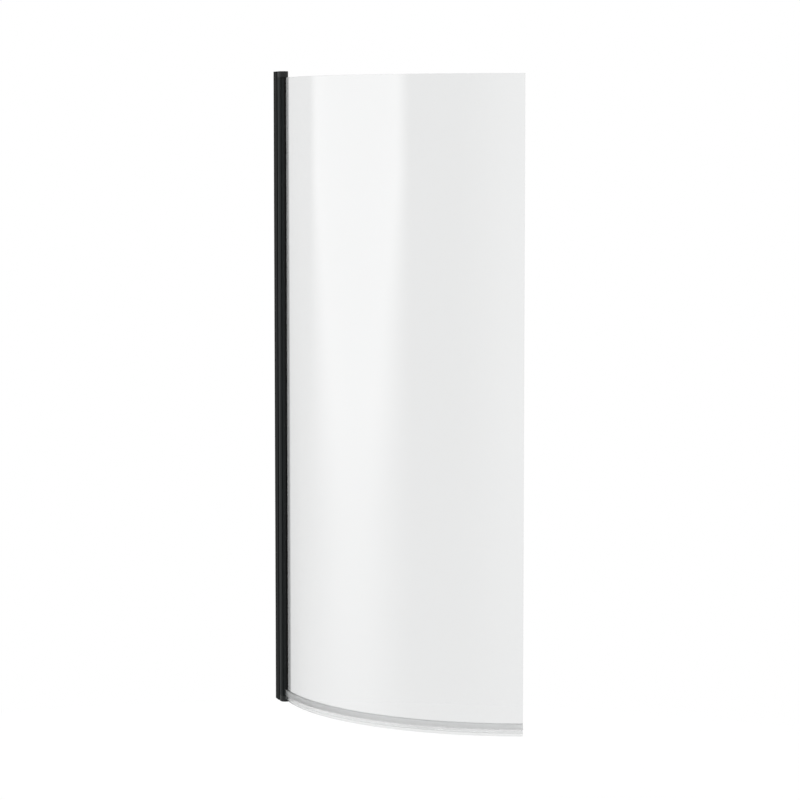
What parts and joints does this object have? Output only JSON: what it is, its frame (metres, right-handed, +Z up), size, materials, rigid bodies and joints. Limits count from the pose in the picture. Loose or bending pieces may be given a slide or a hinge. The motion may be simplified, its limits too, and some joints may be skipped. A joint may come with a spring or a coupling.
{
  "type": "bath screen",
  "caption": "Curved clear glass bath screen on a slim matt black hinge post that slides in a wall channel, with a clear seal under the glass.",
  "frame": {"origin": "bottom middle of the wall face of the wall channel", "axes": "+Z up along the post, +Y into the wall, +X towards the bather's side, where the glass curves to"},
  "size_m": [0.3879, 0.5682, 1.4006],
  "materials": {
    "black_aluminium": "matt black powder coat",
    "black_plastic": "satin moulded",
    "white_acetal": "smooth",
    "black_rubber": "matt",
    "steel": "plain",
    "glass": "clear polished",
    "seal_clip": "translucent",
    "seal_fin": "clear, soft"
  },
  "bodies": {
    "wall_side": {"wall_channel": "black_aluminium", "channel_cap_bottom": "black_plastic", "channel_cap_top": "black_plastic"},
    "post": {"hinge_post": "black_aluminium", "post_cap_bottom": "black_plastic", "post_cap_top": "black_plastic", "cap_screws_bottom": "steel", "cap_screws_top": "steel", "pivot_bush_bottom": "white_acetal", "pivot_bush_top": "white_acetal", "thrust_washer": "white_acetal", "lip_seal_outer": "black_rubber", "lip_seal_inner": "black_rubber", "clamp_screws": "steel", "clamp_nuts": "steel", "screw_covers": "black_plastic"},
    "panel": {"glass_holder": "black_aluminium", "pivot_plug_bottom": "black_plastic", "pivot_plug_top": "black_plastic", "setting_block": "black_rubber", "gasket_outer": "black_rubber", "gasket_inner": "black_rubber", "glass_panel": "glass", "seal_clip": "seal_clip", "seal_fin_outer": "seal_fin", "seal_fin_inner": "seal_fin"}
  },
  "joints": [
    {"name": "width_slide", "type": "slide", "parent": "wall_side", "child": "post", "axis": [0, -1, 0], "range_m": [-0.0075, 0.0075]},
    {"name": "panel_hinge", "type": "hinge", "parent": "post", "child": "panel", "pos_m": [0, -0.041, 0], "axis": [0, 0, 1], "range_deg": [-36, 54]}
  ]
}
